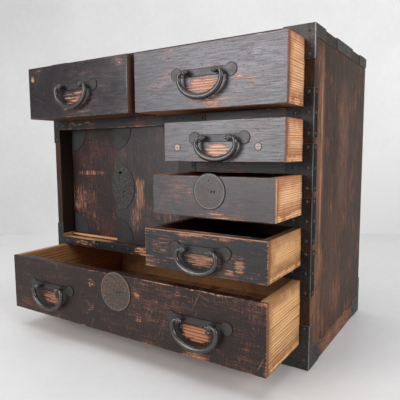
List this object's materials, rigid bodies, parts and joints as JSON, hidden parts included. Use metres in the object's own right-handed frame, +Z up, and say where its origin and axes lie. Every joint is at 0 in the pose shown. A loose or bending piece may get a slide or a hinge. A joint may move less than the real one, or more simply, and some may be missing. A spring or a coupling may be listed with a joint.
{
  "type": "small tansu chest",
  "caption": "Low wooden chest with drawers on bail handles beside a compartment with two sliding doors, bound at its edges with dark iron fittings and dome nails.",
  "frame": {"origin": "on the surface the chest stands on, under the middle of the carcass, at the underside of the middle base rail", "axes": "+X to the viewer's right, +Y towards the back, +Z up; the drawer fronts face -Y"},
  "size_m": [0.492, 0.3929, 0.45],
  "materials": {
    "front_lacquer": "dark purple-brown lacquer over horizontal grain, rubbed to bare orange wood under the handles and at the edges",
    "carcass_wood": "aged dark brown stain over long grain, red-brown where worn",
    "door_wood": "dark stain over vertical grain, scratched and rubbed to orange wood",
    "drawer_wood": "bare golden-orange cedar with strong grain",
    "inner_wood": "bare aged brown wood",
    "plug_wood": "red-brown end grain",
    "iron": "dark grey oiled iron with a soft sheen"
  },
  "bodies": {
    "carcass": {"top_board": "carcass_wood", "side_left": "carcass_wood", "side_right": "carcass_wood", "back_board": "inner_wood", "bottom_board": "inner_wood", "base_rails_long": "carcass_wood", "base_rails_short": "inner_wood", "shelf_upper": "carcass_wood", "shelf_lower": "carcass_wood", "small_rail_upper": "carcass_wood", "small_rail_lower": "carcass_wood", "divider_upper": "inner_wood", "divider_middle": "carcass_wood", "corner_irons": "iron", "joint_irons": "iron", "nails": "iron"},
    "door_left": {"door_left": "door_wood", "door_left_plate": "iron", "door_left_corner_irons": "iron"},
    "door_right": {"door_right": "door_wood", "door_right_plate": "iron", "door_right_corner_irons": "iron"},
    "drawer_upper_left": {"drawer_upper_left_front": "front_lacquer", "drawer_upper_left_walls": "drawer_wood", "drawer_upper_left_bottom": "drawer_wood", "handle_plate_upper_left": "iron"},
    "bail_upper_left": {"bail_upper_left": "iron"},
    "drawer_upper_right": {"drawer_upper_right_front": "front_lacquer", "drawer_upper_right_walls": "drawer_wood", "drawer_upper_right_bottom": "drawer_wood", "handle_plate_upper_right": "iron"},
    "bail_upper_right": {"bail_upper_right": "iron"},
    "drawer_small_high": {"drawer_small_high_front": "front_lacquer", "drawer_small_high_walls": "drawer_wood", "drawer_small_high_bottom": "drawer_wood", "handle_plate_small_high": "iron", "plugs_small_high": "plug_wood"},
    "bail_small_high": {"bail_small_high": "iron"},
    "drawer_small_middle": {"drawer_small_middle_front": "front_lacquer", "drawer_small_middle_walls": "drawer_wood", "drawer_small_middle_bottom": "drawer_wood", "lock_plate_small_middle": "iron", "lock_case_small_middle": "iron"},
    "lock_bolt_small_middle": {"lock_bolt_small_middle": "iron"},
    "drawer_small_low": {"drawer_small_low_front": "front_lacquer", "drawer_small_low_walls": "drawer_wood", "drawer_small_low_bottom": "drawer_wood", "handle_plate_small_low": "iron"},
    "bail_small_low": {"bail_small_low": "iron"},
    "drawer_wide": {"drawer_wide_front": "front_lacquer", "drawer_wide_walls": "drawer_wood", "drawer_wide_bottom": "drawer_wood", "handle_plate_wide": "iron", "lock_plate_wide": "iron", "lock_case_wide": "iron"},
    "bail_wide_left": {"bail_wide_left": "iron"},
    "bail_wide_right": {"bail_wide_right": "iron"},
    "lock_bolt_wide": {"lock_bolt_wide": "iron"}
  },
  "joints": [
    {"name": "door_left_slide", "type": "slide", "parent": "carcass", "child": "door_left", "axis": [1, 0, 0], "range_m": [-0.0045, 0.1197]},
    {"name": "door_right_slide", "type": "slide", "parent": "carcass", "child": "door_right", "axis": [1, 0, 0], "range_m": [-0.1242, 0]},
    {"name": "drawer_upper_left_slide", "type": "slide", "parent": "carcass", "child": "drawer_upper_left", "axis": [0, -1, 0], "range_m": [-0.061, 0.149]},
    {"name": "bail_upper_left_hinge", "type": "hinge", "parent": "drawer_upper_left", "child": "bail_upper_left", "pos_m": [-0.12035, -0.2055, 0.3952], "axis": [-1, 0, 0], "range_deg": [0, 150]},
    {"name": "drawer_upper_right_slide", "type": "slide", "parent": "carcass", "child": "drawer_upper_right", "axis": [0, -1, 0], "range_m": [-0.0545, 0.1555]},
    {"name": "bail_upper_right_hinge", "type": "hinge", "parent": "drawer_upper_right", "child": "bail_upper_right", "pos_m": [0.11415, -0.199, 0.3952], "axis": [-1, 0, 0], "range_deg": [0, 150]},
    {"name": "drawer_small_high_slide", "type": "slide", "parent": "carcass", "child": "drawer_small_high", "axis": [0, -1, 0], "range_m": [-0.0587, 0.1513]},
    {"name": "bail_small_high_hinge", "type": "hinge", "parent": "drawer_small_high", "child": "bail_small_high", "pos_m": [0.14, -0.2032, 0.3098], "axis": [-1, 0, 0], "range_deg": [0, 150]},
    {"name": "drawer_small_middle_slide", "type": "slide", "parent": "carcass", "child": "drawer_small_middle", "axis": [0, -1, 0], "range_m": [-0.085, 0.125]},
    {"name": "lock_bolt_small_middle_throw", "type": "slide", "parent": "drawer_small_middle", "child": "lock_bolt_small_middle", "axis": [0, 0, 1], "range_m": [0, 0.006]},
    {"name": "drawer_small_low_slide", "type": "slide", "parent": "carcass", "child": "drawer_small_low", "axis": [0, -1, 0], "range_m": [-0.104, 0.106]},
    {"name": "bail_small_low_hinge", "type": "hinge", "parent": "drawer_small_low", "child": "bail_small_low", "pos_m": [0.139, -0.2485, 0.1722], "axis": [-1, 0, 0], "range_deg": [0, 150]},
    {"name": "drawer_wide_slide", "type": "slide", "parent": "carcass", "child": "drawer_wide", "axis": [0, -1, 0], "range_m": [-0.1065, 0.1035]},
    {"name": "bail_wide_left_hinge", "type": "hinge", "parent": "drawer_wide", "child": "bail_wide_left", "pos_m": [-0.137, -0.251, 0.0817], "axis": [-1, 0, 0], "range_deg": [0, 150]},
    {"name": "bail_wide_right_hinge", "type": "hinge", "parent": "drawer_wide", "child": "bail_wide_right", "pos_m": [0.137, -0.251, 0.0817], "axis": [-1, 0, 0], "range_deg": [0, 150]},
    {"name": "lock_bolt_wide_throw", "type": "slide", "parent": "drawer_wide", "child": "lock_bolt_wide", "axis": [0, 0, 1], "range_m": [0, 0.006]}
  ]
}
